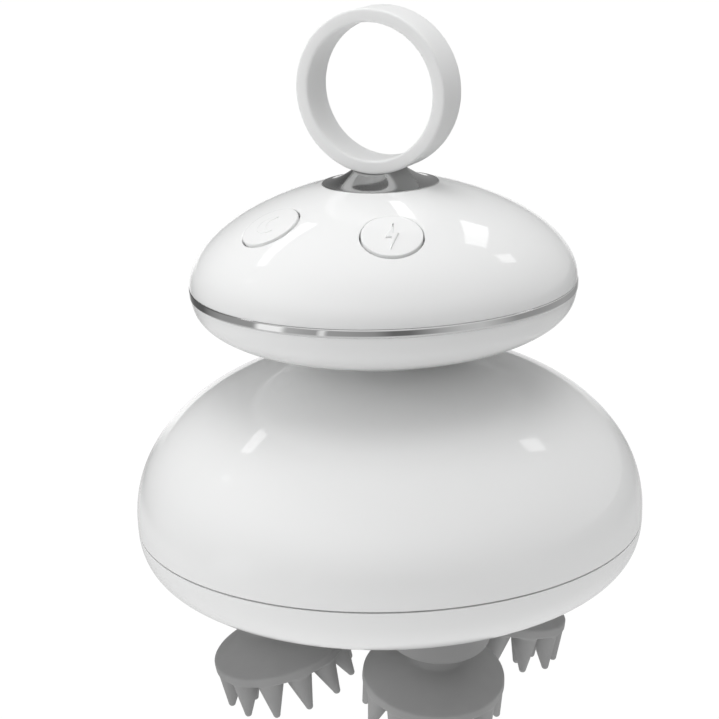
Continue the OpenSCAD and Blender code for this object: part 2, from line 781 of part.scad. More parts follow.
// Leads run from the motor's terminals up the neck, under the battery, to the board
function lead_route(x) = [[x, 0, motor_top + terminal_h + lead_bend_r], [x, 0, pod_floor_z + 1.3],
  [x, 12, pod_floor_z + 1.5], [x, lead_back - 6, pod_floor_z + 2.6],
  [x, lead_back, pod_floor_z + 4.3], [x, lead_back, board_z - lead_bend_r]];
module lead_between(a, b) {
  d = b - a;
  translate(a) rotate([0, acos(d[2] / norm(d)), atan2(d[1], d[0])]) cylinder(r = lead_r, h = norm(d));
}
module lead(pts) {
  for (i = [0:len(pts) - 2]) lead_between(pts[i], pts[i + 1]);
  for (p = pts) translate(p) sphere(r = lead_bend_r);
}
module motor_leads() {
  color("firebrick") lift() for (side = [-1, 1]) lead(lead_route(side * terminal_x));
}

// Buttons
module bolt_icon() {
  scale(icon_r) polygon([[0.12, 1], [-0.3, -0.1], [-0.03, -0.1], [-0.12, -1], [0.3, 0.1], [0.03, 0.1]]);
}
module moon_icon() {
  difference() {
    circle(r = moon_r);
    translate([0.5 * moon_r, 0.35 * moon_r]) circle(r = 0.85 * moon_r);
  }
}
module cap(turn) {
  intersection() {
    at_pod(turn, button_place) rod(button_r, cap_flange_z, 2);
    lift() pod_above(0);
  }
  at_pod(turn, button_place) rod(cap_flange_r, cap_flange_z, cap_flange_z + cap_flange_t);
  at_pod(turn, button_place) translate([0, 0, -icon_root]) rotate([0, 0, 90])
    linear_extrude(height = icon_root + icon_proud) children();
}
module power_button() { color("white") cap(power_turn) bolt_icon(); }
module relax_button() { color("white") cap(-relax_turn) moon_icon(); }

module plunger(turn) {
  color("dimgray") at_pod(turn, button_place) rod(plunger_r, cap_flange_z - plunger_l, cap_flange_z);
}
module power_plunger() { plunger(power_turn); }
module relax_plunger() { plunger(-relax_turn); }

module switch(turn) {
  color("darkslategray") at_pod(turn, button_place) difference() {
    union() {
      rod(switch_board_r, switch_board_z - switch_board_t, switch_board_z);
      slab(switch_w, switch_w, switch_board_z, switch_board_z + switch_h);
    }
    rod(plunger_r + plunger_gap, switch_board_z + 0.2, switch_board_z + switch_h + 1);
  }
}
module power_switch() { switch(power_turn); }
module relax_switch() { switch(-relax_turn); }

// Handle
module handle_foot() {
  steps = 9;
  neck_z = ring_z - sqrt(ring_r * ring_r - foot_neck_r * foot_neck_r) + 0.1;
  flare = [for (i = [0:steps]) let (t = i / steps)
    [foot_r + (foot_neck_r - foot_r) * t, foot_rim_z + (neck_z - foot_rim_z) * pow(t, foot_flare)]];
  color("silver") lift() difference() {
    spin(concat([[0, foot_seat_z], [foot_r, foot_seat_z]], flare, [[0, neck_z]]));
    translate([0, 0, ring_z]) rotate([90, 0, 0]) rod(ring_r, -foot_r, foot_r);
    rod(handle_screw_r, foot_seat_z - 1, ring_z);
  }
}
module ring_handle() {
  h = ring_w / 2;
  e = ring_edge;
  color("whitesmoke") lift() difference() {
    translate([0, 0, ring_z]) rotate([90, 0, 0])
      spin([[ring_bore_r, -h + e], [ring_bore_r + 0.3 * e, -h + 0.3 * e], [ring_bore_r + e, -h],
        [ring_r - e, -h], [ring_r - 0.3 * e, -h + 0.3 * e], [ring_r, -h + e],
        [ring_r, h - e], [ring_r - 0.3 * e, h - 0.3 * e], [ring_r - e, h],
        [ring_bore_r + e, h], [ring_bore_r + 0.3 * e, h - 0.3 * e], [ring_bore_r, h - e]]);
    rod(handle_screw_r, foot_seat_z, handle_screw_end);
  }
}
module handle_screw() {
  head_z = foot_seat_z - crown_t;
  color("silver") lift() {
    rod(handle_screw_r, head_z, handle_screw_end);
    rod(handle_screw_head_r, head_z - handle_screw_head_h, head_z);
  }
}

dome_shell();
base_cover();
seam_gasket();
closing_screws();
screw_plugs();
gear_plate();
plate_screws();
reducer();
motor();
motor_screws();
footstep_bush();
drive_shaft();
drive_gear();
collar(0);  // collar_fr
collar(1);  // collar_br
collar(2);  // collar_bl
collar(3);  // collar_fl
bush(0);  // bush_fr
bush(1);  // bush_br
bush(2);  // bush_bl
bush(3);  // bush_fl
shaft_seals();
output_shaft(0);  // output_shaft_fr
output_shaft(1);  // output_shaft_br
output_shaft(2);  // output_shaft_bl
output_shaft(3);  // output_shaft_fl
output_gear(0);  // output_gear_fr
output_gear(1);  // output_gear_br
output_gear(2);  // output_gear_bl
output_gear(3);  // output_gear_fl
head_core(0);  // head_core_fr
head_core(1);  // head_core_br
head_core(2);  // head_core_bl
head_core(3);  // head_core_fl
massage_head(0);  // massage_head_fr
massage_head(1);  // massage_head_br
massage_head(2);  // massage_head_bl
massage_head(3);  // massage_head_fl
neck_ring();
neck_nut();
pod_lower_shell();
chrome_band();
pod_upper_shell();
battery();
battery_pad();
control_board();
board_screws();
power_button();
relax_button();
power_plunger();
relax_plunger();
power_switch();
relax_switch();
charge_pins();
motor_leads();
handle_foot();
ring_handle();
handle_screw();
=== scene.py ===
import json
import math

import bmesh
import bpy
from mathutils import Matrix, Vector


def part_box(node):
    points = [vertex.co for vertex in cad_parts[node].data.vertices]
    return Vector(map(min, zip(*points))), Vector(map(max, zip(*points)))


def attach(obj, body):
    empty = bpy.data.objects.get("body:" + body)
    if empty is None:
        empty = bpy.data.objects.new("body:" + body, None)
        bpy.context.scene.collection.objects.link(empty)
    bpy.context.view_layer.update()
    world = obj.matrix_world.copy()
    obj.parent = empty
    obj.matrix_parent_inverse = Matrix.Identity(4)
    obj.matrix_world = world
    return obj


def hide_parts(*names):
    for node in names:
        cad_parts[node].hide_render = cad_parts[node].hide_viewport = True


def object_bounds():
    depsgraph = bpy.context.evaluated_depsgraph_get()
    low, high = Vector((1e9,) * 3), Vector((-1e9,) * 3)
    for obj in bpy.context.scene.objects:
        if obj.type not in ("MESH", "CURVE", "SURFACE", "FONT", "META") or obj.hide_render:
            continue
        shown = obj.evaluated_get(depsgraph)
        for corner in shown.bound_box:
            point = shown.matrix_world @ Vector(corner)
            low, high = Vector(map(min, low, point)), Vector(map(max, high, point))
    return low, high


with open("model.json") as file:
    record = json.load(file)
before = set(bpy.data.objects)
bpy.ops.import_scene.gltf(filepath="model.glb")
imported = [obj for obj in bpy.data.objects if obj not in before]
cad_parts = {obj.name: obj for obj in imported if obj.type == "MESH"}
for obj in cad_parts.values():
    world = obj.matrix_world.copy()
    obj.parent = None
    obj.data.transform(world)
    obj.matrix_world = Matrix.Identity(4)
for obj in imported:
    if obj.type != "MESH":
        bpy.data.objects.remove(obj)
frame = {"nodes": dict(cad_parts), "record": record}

cadLow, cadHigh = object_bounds()
print("frame loaded:", len(frame["nodes"]), "nodes")

# Pieces are shaped in millimetres above the equator of the lower body, then brought to metres
mm = 0.001
seamDrop = 2.1
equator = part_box("dome_shell")[0].z + seamDrop * mm
toMetres = Matrix.Translation((0, 0, equator)) @ Matrix.Scale(mm, 4)

# Rounded outlines: radius, height, rounding across, rounding upwards
lobes = {
    "dome": (50, 31.5, 2.16, 2.05),
    "base": (50, 16.5, 4.1, 2.86),
    "podTop": (37.3, 20, 1.588, 1.92),
    "podBottom": (37.3, 13.7, 2.25, 2.98),
}
wall = 2.2
podEquator = 46
slip = 0.05
quarterTurns = (0, 90, 180, 270)
headTurns = {"fr": -45, "br": 45, "bl": 135, "fl": 225}
fingerTurns = {"fr": 6, "br": 6, "bl": 0, "fl": 0}
headAxis = {"place": 23.9, "height": -26.8, "tilt": 13.2}
# How far a cutting form reaches past the surface it cuts
past = 1


def lobeHeight(name, radius, inset=0):
    a, h, across, up = lobes[name]
    return (h - inset) * max(0, 1 - (radius / (a - inset)) ** across) ** (1 / up)


def lobeRadius(name, height, inset=0):
    a, h, across, up = lobes[name]
    return (a - inset) * max(0, 1 - (abs(height) / (h - inset)) ** up) ** (1 / across)


# The same line with its points a step apart, both ends kept
def evenly(line, step):
    runs = [0]
    for a, b in zip(line, line[1:]):
        runs.append(runs[-1] + math.dist(a, b))
    count = max(2, round(runs[-1] / step))
    spaced, i = [line[0]], 0
    for k in range(1, count):
        goal = runs[-1] * k / count
        while runs[i + 1] < goal:
            i += 1
        share = (goal - runs[i]) / (runs[i + 1] - runs[i])
        spaced.append(tuple(a + (b - a) * share for a, b in zip(line[i], line[i + 1])))
    return spaced + [line[-1]]


# From a height near the widest line to a radius near the axis; side is -1 for a lobe that hangs down
def lobeLine(name, fromHeight, toRadius, inset=0, side=1, lift=0, step=0.7, samples=800):
    a, h, across, up = lobes[name]
    a, h = a - inset, h - inset
    first = math.asin((fromHeight / h) ** (up / 2))
    last = math.acos((toRadius / a) ** (across / 2))
    turns = [first + (last - first) * i / samples for i in range(samples + 1)]
    line = [(a * math.cos(t) ** (2 / across), lift + side * h * math.sin(t) ** (2 / up))
            for t in turns]
    return evenly(line, step)


# Points with a third number get a soft corner of that size, or of a share of the side where that is less
def softened(line, closed=True, cuts=4, share=0.45):
    made = []
    for i, point in enumerate(line):
        inside = closed or 0 < i < len(line) - 1
        if len(point) == 2 or not inside:
            made.append(point[:2])
            continue
        here = Vector(point[:2])
        before, after = Vector(line[i - 1][:2]), Vector(line[(i + 1) % len(line)][:2])
        a = here + (before - here).normalized() * min(point[2], share * (before - here).length)
        b = here + (after - here).normalized() * min(point[2], share * (after - here).length)
        for k in range(cuts + 1):
            t = k / cuts
            made.append(tuple(a * (1 - t) ** 2 + here * 2 * t * (1 - t) + b * t ** 2))
    return made


def spun(line, steps=96, closed=True, place=Matrix()):
    form = bmesh.new()
    points = [form.verts.new((r, 0, z)) for r, z in softened(line, closed)]
    pairs = list(zip(points, points[1:]))
    if closed:
        pairs.append((points[-1], points[0]))
    edges = [form.edges.new(pair) for pair in pairs]
    bmesh.ops.spin(form, geom=points + edges, cent=(0, 0, 0), axis=(0, 0, 1), dvec=(0, 0, 0),
                   angle=math.tau, steps=steps, use_merge=True)
    bmesh.ops.remove_doubles(form, verts=form.verts, dist=1e-5)
    bmesh.ops.recalc_face_normals(form, faces=form.faces)
    bmesh.ops.transform(form, matrix=place, verts=form.verts)
    return form


def rod(radius, low, high, place=Matrix(), steps=64):
    form = bmesh.new()
    bmesh.ops.create_cone(form, cap_ends=True, segments=steps, radius1=radius, radius2=radius,
                          depth=high - low,
                          matrix=place @ Matrix.Translation((0, 0, (low + high) / 2)))
    return form


def joined(forms):
    whole = bmesh.new()
    for form in forms:
        mesh = bpy.data.meshes.new("part")
        form.to_mesh(mesh)
        form.free()
        whole.from_mesh(mesh)
        bpy.data.meshes.remove(mesh)
    return whole


def asObject(form, name="form"):
    mesh = bpy.data.meshes.new(name)
    form.to_mesh(mesh)
    form.free()
    made = bpy.data.objects.new(name, mesh)
    bpy.context.scene.collection.objects.link(made)
    return made


def evaluated(piece):
    bpy.context.view_layer.update()
    form = bmesh.new()
    form.from_object(piece, bpy.context.evaluated_depsgraph_get())
    mesh = piece.data
    bpy.data.objects.remove(piece)
    bpy.data.meshes.remove(mesh)
    return form


def carved(form, tools, operation="DIFFERENCE"):
    base, tool = asObject(form), asObject(joined(tools))
    change = base.modifiers.new("carve", "BOOLEAN")
    change.operation, change.object, change.solver = operation, tool, "EXACT"
    made = evaluated(base)
    bpy.data.objects.remove(tool)
    return made


def quarterPlaces(ring):
    return [Matrix.Rotation(math.radians(turn), 4, "Z") @ Matrix.Translation((ring, 0, 0))
            for turn in quarterTurns]


def rodsAround(radius, low, high, ring, steps):
    return [rod(radius, low, high, place, steps) for place in quarterPlaces(ring)]


def headPlace(turn):
    return (Matrix.Rotation(math.radians(turn), 4, "Z")
            @ Matrix.Translation((headAxis["place"], 0, headAxis["height"]))
            @ Matrix.Rotation(math.radians(headAxis["tilt"]), 4, "Y"))


def rodsAtHeads(radius, low, high, steps):
    return [rod(radius, low, high, headPlace(turn), steps) for turn in headTurns.values()]


# A place on the pod's surface, x outwards along the slope, z straight out of it
def podPlace(turn, place, reach=0.05):
    height = podEquator + lobeHeight("podTop", place)
    drop = lobeHeight("podTop", place - reach) - lobeHeight("podTop", place + reach)
    return (Matrix.Rotation(math.radians(turn - 90), 4, "Z") @ Matrix.Translation((place, 0, height))
            @ Matrix.Rotation(math.atan2(drop, 2 * reach), 4, "Y"))


# How far the pod's surface is from a flat one at x, y of a place on it
def podRise(place, x, y, tries=14):
    h = 0
    lean = place.to_3x3().col[2].z
    for _ in range(tries):
        p = place @ Vector((x, y, h))
        h += (podEquator + lobeHeight("podTop", math.hypot(p.x, p.y)) - p.z) * lean
    return h


# Bends a form that is drawn flat so that its upper part follows the pod's surface
def draped(form, place, keepBelow=-1.8, followAbove=-0.8):
    for v in form.verts:
        follow = min(1, max(0, (v.co.z - keepBelow) / (followAbove - keepBelow)))
        if follow:
            v.co.z += follow * podRise(place, v.co.x, v.co.y)
    bmesh.ops.transform(form, matrix=place, verts=form.verts)
    return form


def finishPiece(name, form, material, body, replaced=(), sharp=32, transform=toMetres):
    bmesh.ops.transform(form, matrix=transform, verts=form.verts)
    piece = asObject(form, name)
    piece.data.shade_smooth()
    piece.data.set_sharp_from_angle(angle=math.radians(sharp))
    piece.data.materials.clear()
    piece.data.materials.append(material)
    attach(piece, body)
    if replaced:
        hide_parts(*replaced)
    return piece


# Two close colours, two roughnesses and a fine bump, each from its own noise on Object coordinates
def finishOf(name, colours, roughness, grain=600, bump=0.05, depth=0.00002, patch=40, metallic=0,
             ior=1.5, coat=0, coatRoughness=0.03, specular=0.5, stretch=(1, 1, 1)):
    noiseLow, noiseHigh, roughPatch = 0.35, 0.65, 2.5 * patch
    material = bpy.data.materials.new(name)
    material.use_nodes = True
    nodes, links = material.node_tree.nodes, material.node_tree.links
    shader = nodes["Principled BSDF"]
    where = nodes.new("ShaderNodeTexCoord")
    spread = nodes.new("ShaderNodeMapping")
    spread.inputs["Scale"].default_value = stretch
    links.new(where.outputs["Object"], spread.inputs["Vector"])

    def noise(scale, detail=3):
        made = nodes.new("ShaderNodeTexNoise")
        made.inputs["Scale"].default_value = scale
        made.inputs["Detail"].default_value = detail
        links.new(spread.outputs["Vector"], made.inputs["Vector"])
        return made.outputs["Fac"]

    ramp = nodes.new("ShaderNodeValToRGB")
    for element, at, colour in zip(ramp.color_ramp.elements, (noiseLow, noiseHigh), colours):
        element.position, element.color = at, (*colour, 1)
    links.new(noise(patch), ramp.inputs["Fac"])
    links.new(ramp.outputs["Color"], shader.inputs["Base Color"])
    rough = nodes.new("ShaderNodeMapRange")
    rough.inputs["From Min"].default_value, rough.inputs["From Max"].default_value = noiseLow, noiseHigh
    rough.inputs["To Min"].default_value, rough.inputs["To Max"].default_value = roughness
    links.new(noise(roughPatch), rough.inputs["Value"])
    links.new(rough.outputs["Result"], shader.inputs["Roughness"])
    relief = nodes.new("ShaderNodeBump")
    relief.inputs["Strength"].default_value = bump
    relief.inputs["Distance"].default_value = depth
    links.new(noise(grain, detail=4), relief.inputs["Height"])
    links.new(relief.outputs["Normal"], shader.inputs["Normal"])
    if coat:
        links.new(relief.outputs["Normal"], shader.inputs["Coat Normal"])
    shader.inputs["Metallic"].default_value = metallic
    shader.inputs["IOR"].default_value = ior
    shader.inputs["Coat Weight"].default_value = coat
    shader.inputs["Coat Roughness"].default_value = coatRoughness
    shader.inputs["Specular IOR Level"].default_value = specular
    return material


def grey(level, tint=(1, 1, 1)):
    return tuple(level * t for t in tint)


whiteTint = (0.996, 1.0, 0.998)
shellWhite = finishOf("glossy white shell", (grey(0.858, whiteTint), grey(0.864, whiteTint)), (0.42, 0.46),
                      grain=260, bump=0.02, patch=14, coat=1, coatRoughness=0.045, specular=0)
# The pod is the shell's white plastic made about 5% lighter: painted light standing in for the stronger
# light on the pod
podWhitePaintedLighter = finishOf("glossy white pod painted lighter", (grey(0.898, whiteTint), grey(0.904, whiteTint)), (0.42, 0.46),
                    grain=260, bump=0.02, patch=14, coat=1, coatRoughness=0.045, specular=0)
# The caps take the pod's lighter level of the same white plastic, which is painted light
buttonWhitePaintedLighter = finishOf("glossy white button painted lighter", (grey(0.896, whiteTint), grey(0.902, whiteTint)), (0.44, 0.48),
                       grain=300, bump=0.03, patch=30, coat=1, coatRoughness=0.03, specular=0)
satinWhite = finishOf("satin white ring", (grey(0.93, whiteTint), grey(0.945, whiteTint)), (0.42, 0.5),
                      grain=2600, bump=0.12, depth=0.00003)
chromeFinish = finishOf("chrome", (grey(0.80, whiteTint), grey(0.82, whiteTint)), (0.01, 0.025), grain=700,
                        bump=0.01, metallic=1)
# The foot is the band's chrome with a darker colour: a painted darker reflection of its surroundings
footChromePaintedDarker = finishOf("chrome foot", (grey(0.6, whiteTint), grey(0.62, whiteTint)), (0.1, 0.13), grain=700,
                      bump=0.01, metallic=1)
silicone = finishOf("soft grey silicone", (grey(0.29), grey(0.315)), (0.5, 0.62), grain=1800, bump=0.16,
                    depth=0.00005, patch=90, ior=1.42)
collarGrey = finishOf("grey collar", (grey(0.235), grey(0.255)), (0.42, 0.5), grain=2200, bump=0.12,
                      depth=0.00004)
finishes = {
    "shell_white": shellWhite,
    "pod_white": podWhitePaintedLighter,
    "button_white": buttonWhitePaintedLighter,
    "ring_white": satinWhite,
    "chrome": chromeFinish,
    "silicone_grey": silicone,
    "collar_grey": collarGrey,
    "gasket_black": finishOf("black seal", (grey(0.02), grey(0.03)), (0.55, 0.7), grain=2500, bump=0.2),
    "plug_grey": finishOf("grey plug", (grey(0.6), grey(0.63)), (0.45, 0.55), grain=1500, bump=0.15),
    "steel": finishOf("turned steel", (grey(0.5), grey(0.62)), (0.22, 0.34), grain=1500, metallic=1,
                      stretch=(1, 1, 8)),
    "bearing_bronze": finishOf("sintered bronze", ((0.45, 0.27, 0.12), (0.55, 0.34, 0.16)), (0.35, 0.5),
                               grain=5000, bump=0.3, metallic=1),
    "gear_nylon": finishOf("nylon gear", ((0.82, 0.79, 0.7), (0.86, 0.83, 0.75)), (0.35, 0.45),
                           grain=1200, bump=0.1),
    "plate_white": finishOf("moulded plate", (grey(0.7), grey(0.74)), (0.4, 0.5), grain=1800, bump=0.15),
    "core_plastic": finishOf("stiff core", (grey(0.16), grey(0.19)), (0.4, 0.5), grain=1800, bump=0.15),
    "motor_can": finishOf("plated motor can", (grey(0.55), grey(0.66)), (0.25, 0.35), grain=1400,
                          bump=0.08, metallic=1, stretch=(1, 1, 6)),
    "battery_foil": finishOf("battery wrap", ((0.2, 0.36, 0.5), (0.24, 0.42, 0.56)), (0.25, 0.4),
                             grain=260, bump=0.35, depth=0.0001),
    "pad_foam": finishOf("foam pad", (grey(0.05), grey(0.08)), (0.85, 0.95), grain=3200, bump=0.6,
                         depth=0.0001),
    "board_green": finishOf("circuit board", ((0.01, 0.13, 0.05), (0.015, 0.19, 0.07)), (0.3, 0.45),
                            grain=1300, bump=0.2, patch=160),
    "switch_dark": finishOf("switch plastic", (grey(0.03), grey(0.045)), (0.4, 0.55), grain=1800,
                            bump=0.15),
    "contact_gold": finishOf("gold contact", ((0.83, 0.58, 0.24), (0.9, 0.66, 0.3)), (0.15, 0.25),
                             grain=1600, bump=0.05, metallic=1),
    "lead_red": finishOf("red lead", ((0.45, 0.02, 0.02), (0.52, 0.03, 0.025)), (0.35, 0.45), grain=900,
                         bump=0.1),
}
slotOf = {}
for part in frame["record"]["subparts"]:
    slotOf[part["node"]] = part["material_slot"]
for name, node in frame["nodes"].items():
    finish = finishes[slotOf[name]]
    node.data.materials.clear()
    node.data.materials.append(finish)
print("finishes made:", len(finishes))

dome = {"seamHeights": (2.1, 1.75, 1.4, 1.05, 0.7, 0.35), "lip": 0.12, "neckHole": 13.05, "neckEdge": 0.2,
        "neckSeat": 30.4506, "bore": 8.1, "ceiling": 27.4506, "boss": 14, "screwPlace": 41.5,
        "screwBoss": 3.2, "screwBossTop": 14.45, "screwHole": 1.1, "screwEnd": 5.9,
        "innerStep": 1.6, "steps": 192, "bossSteps": 48, "holeSteps": 32}
seamLine = [(lobeRadius("base", z), -z) for z in dome["seamHeights"]]
inner = lobeLine("dome", 0, dome["boss"], inset=wall, step=dome["innerStep"])
form = spun(
    [(lobes["dome"][0] - wall, -seamDrop), (*seamLine[0], dome["lip"])] + seamLine[1:]
    + lobeLine("dome", 0, dome["neckHole"])[:-1]
    + [(dome["neckHole"], lobeHeight("dome", dome["neckHole"]), dome["neckEdge"]),
       (dome["neckHole"], dome["neckSeat"]), (dome["bore"], dome["neckSeat"]),
       (dome["bore"], dome["ceiling"]), (dome["boss"], dome["ceiling"])]
    + inner[::-1], dome["steps"])
form = carved(form, rodsAround(dome["screwBoss"], -seamDrop, dome["screwBossTop"], dome["screwPlace"],
                               dome["bossSteps"]), "UNION")
form = carved(form, rodsAround(dome["screwHole"], -seamDrop - past, dome["screwEnd"], dome["screwPlace"],
                               dome["holeSteps"]))
finishPiece("dome", form, shellWhite, "housing", ["dome_shell"])
print("dome made")

cover = {"top": 2.4, "lip": 0.12, "tongueOut": 47.75, "tongueIn": 46.4, "tongueLow": 5.4,
         "tongueTop": -0.1, "tongueEdge": 0.3, "grooveIn": 48.0, "grooveOut": 49.2, "grooveLow": -3.0,
         "shaftBoss": 5.5, "shaftBossTop": -8.7, "bushHole": 4.05, "bushLow": -13.5,
         "post": 2.8, "postPlace": 34, "postTop": 3.0958, "postLow": -14.04,
         "postHole": 1.1, "postHoleLow": -3.9, "postHoleTop": 5,
         "bossLow": -11.24, "wellLow": -17.5, "wellNarrow": -15.2, "wellFlare": 0.5, "well": 2.3,
         "headSeat": -8.4, "screwWay": 1.3, "screwWayTop": 0,
         "socket": 12.6, "seat": 18.4783, "collarHole": 10.15, "flangeHole": 11.75, "flangeRoom": 6,
         "outerStep": 0.6, "innerStep": 1.6, "coreStep": 1.2,
         "bossSteps": 48, "holeSteps": 32, "socketSteps": 64, "coreSteps": 128, "collarSteps": 96}
rim = lobeRadius("base", cover["top"])
inner = lobeLine("base", cover["tongueLow"], cover["shaftBoss"], inset=wall, side=-1,
                 step=cover["innerStep"])
form = spun(
    [(rim, -cover["top"], cover["lip"])]
    + lobeLine("base", cover["top"], 0, side=-1, step=cover["outerStep"])[1:]
    + [(0, cover["bushLow"]), (cover["bushHole"], cover["bushLow"]),
       (cover["bushHole"], cover["shaftBossTop"]), (cover["shaftBoss"], cover["shaftBossTop"])]
    + inner[::-1]
    + [(cover["tongueIn"], -cover["tongueLow"]),
       (cover["tongueIn"], cover["tongueTop"], cover["tongueEdge"]),
       (cover["tongueOut"], cover["tongueTop"], cover["tongueEdge"]), (cover["tongueOut"], -cover["top"]),
       (cover["grooveIn"], -cover["top"]), (cover["grooveIn"], cover["grooveLow"]),
       (cover["grooveOut"], cover["grooveLow"]), (cover["grooveOut"], -cover["top"])],
    dome["steps"])
posts = rodsAround(cover["post"], cover["postLow"], cover["postTop"], cover["postPlace"], cover["bossSteps"])
posts += rodsAround(dome["screwBoss"], cover["bossLow"], -cover["top"], dome["screwPlace"],
                    cover["bossSteps"])
form = carved(form, posts, "UNION")
# Sockets for the collars, kept to what lies inside the middle of the cover's wall
sockets = joined(rodsAtHeads(cover["socket"], 0, cover["seat"], cover["socketSteps"]))
core = spun(lobeLine("base", 0, 0, inset=wall / 2, side=-1, step=cover["coreStep"]) + [(0, 0)],
            cover["coreSteps"], closed=False)
form = carved(form, [carved(sockets, [core], "INTERSECT")], "UNION")
form = carved(form, rodsAtHeads(cover["collarHole"], -past, cover["seat"] + past, cover["collarSteps"]))
form = carved(form, rodsAtHeads(cover["flangeHole"], cover["seat"], cover["seat"] + cover["flangeRoom"],
                                cover["collarSteps"]))
wellLine = [(0, cover["wellLow"]), (cover["well"] + cover["wellFlare"], cover["wellLow"]),
            (cover["well"], cover["wellNarrow"]), (cover["well"], cover["headSeat"]),
            (cover["screwWay"], cover["headSeat"]), (cover["screwWay"], cover["screwWayTop"]),
            (0, cover["screwWayTop"])]
wells = [spun(wellLine, cover["bossSteps"], closed=False, place=place)
         for place in quarterPlaces(dome["screwPlace"])]
wells += rodsAround(cover["postHole"], cover["postHoleLow"], cover["postHoleTop"], cover["postPlace"],
                    cover["holeSteps"])
form = carved(form, wells)
finishPiece("baseCover", form, shellWhite, "housing", ["base_cover"])
print("base cover made")

neck = {"radius": 13, "bore": dome["bore"], "low": dome["neckSeat"], "top": 32.8431, "edge": 0.15,
        "steps": 128}
form = spun([(neck["bore"], neck["low"]), (neck["radius"], neck["low"], neck["edge"]),
             (neck["radius"], neck["top"], neck["edge"]), (neck["bore"], neck["top"])], neck["steps"])
finishPiece("neckRing", form, shellWhite, "housing", ["neck_ring"])

podLower = {"top": 44.0, "lip": 0.1, "spigot": 8.05, "spigotIn": 5.55, "spigotLow": 24.9506,
            "spigotEdge": 0.3, "floorTop": 34.8, "floorRadius": 12.5, "innerDrop": 5,
            "tongueIn": 33.7, "tongueTop": 48.2, "tongueEdge": 0.2,
            "bead": 47.1, "beadSize": 0.25, "beadHalf": 0.4,
            "post": 2.3, "postPlace": 29.4, "postTop": 46, "postLow": 37.08, "postHole": 1.1,
            "postHoleLow": 40.0, "outerStep": 0.6, "innerStep": 1.4,
            "steps": 160, "postSteps": 32, "holeSteps": 24}
tongueOut = lobeRadius("podTop", podLower["tongueTop"] - podEquator, wall) - slip
topDrop = podEquator - podLower["top"]
outer = lobeLine("podBottom", topDrop, neck["radius"], side=-1, lift=podEquator,
                 step=podLower["outerStep"])
inner = lobeLine("podBottom", podLower["innerDrop"], podLower["floorRadius"], inset=wall, side=-1,
                 lift=podEquator, step=podLower["innerStep"])
form = spun(
    [(*outer[0], podLower["lip"])] + outer[1:]
    + [(neck["radius"], neck["top"]), (podLower["spigot"], neck["top"]),
       (podLower["spigot"], podLower["spigotLow"], podLower["spigotEdge"]),
       (podLower["spigotIn"], podLower["spigotLow"]), (podLower["spigotIn"], podLower["floorTop"]),
       (podLower["floorRadius"], podLower["floorTop"])]
    + inner[::-1]
    + [(podLower["tongueIn"], inner[0][1]), (podLower["tongueIn"], podLower["tongueTop"]),
       (tongueOut, podLower["tongueTop"], podLower["tongueEdge"]),
       (tongueOut, podLower["bead"] + podLower["beadHalf"]),
       (tongueOut + podLower["beadSize"], podLower["bead"]),
       (tongueOut, podLower["bead"] - podLower["beadHalf"]), (tongueOut, podLower["top"])],
    podLower["steps"])
form = carved(form, rodsAround(podLower["post"], podLower["postLow"], podLower["postTop"],
                               podLower["postPlace"], podLower["postSteps"]), "UNION")
form = carved(form, rodsAround(podLower["postHole"], podLower["postHoleLow"], podLower["postTop"] + past,
                               podLower["postPlace"], podLower["holeSteps"]))
finishPiece("podLower", form, podWhitePaintedLighter, "housing", ["pod_lower_shell"])

band = {"low": podLower["top"], "top": 45.6, "outer": 37.45, "inner": 35.15, "edge": 0.25, "crown": 0.05,
        "crownHalf": 0.35, "steps": 256}
middle = (band["low"] + band["top"]) / 2
form = spun([(band["inner"], band["low"]), (band["outer"] - band["crown"], band["low"], band["edge"]),
             (band["outer"], middle - band["crownHalf"]), (band["outer"], middle + band["crownHalf"]),
             (band["outer"] - band["crown"], band["top"], band["edge"]), (band["inner"], band["top"])],
            band["steps"])
finishPiece("chromeBand", form, chromeFinish, "housing", ["chrome_band"], sharp=40)

podUpper = {"low": band["top"], "lip": 0.1, "footHole": 11.15, "footEdge": 0.12, "footSeat": 64.0227,
            "crown": 12.6, "crownLow": 61.4227, "screwWay": 1.7, "groove": 0.25, "grooveHalf": 0.8,
            "grooveLead": 0.1, "aboveGroove": 0.2, "outerStep": 0.5, "innerStep": 1.4, "steps": 192}
podWidest = lobes["podTop"][0]
outer = lobeLine("podTop", 0, podUpper["footHole"], lift=podEquator, step=podUpper["outerStep"])
inner = lobeLine("podTop", 0, podUpper["crown"], inset=wall, lift=podEquator, step=podUpper["innerStep"])
grooveLow, grooveTop = podLower["bead"] - podUpper["grooveHalf"], podLower["bead"] + podUpper["grooveHalf"]
innerKept = [p for p in inner if p[1] > grooveTop + podUpper["aboveGroove"]]
form = spun(
    [(podWidest, podUpper["low"], podUpper["lip"])] + outer[:-1]
    + [(*outer[-1], podUpper["footEdge"]), (podUpper["footHole"], podUpper["footSeat"]),
       (podUpper["screwWay"], podUpper["footSeat"]), (podUpper["screwWay"], podUpper["crownLow"]),
       (podUpper["crown"], podUpper["crownLow"])]
    + innerKept[::-1]
    + [(tongueOut + slip, grooveTop), (tongueOut + podUpper["groove"] + slip, podLower["bead"]),
       (tongueOut + slip + podUpper["grooveLead"], grooveLow), (podWidest - wall, podEquator),
       (podWidest - wall, podUpper["low"])], podUpper["steps"])

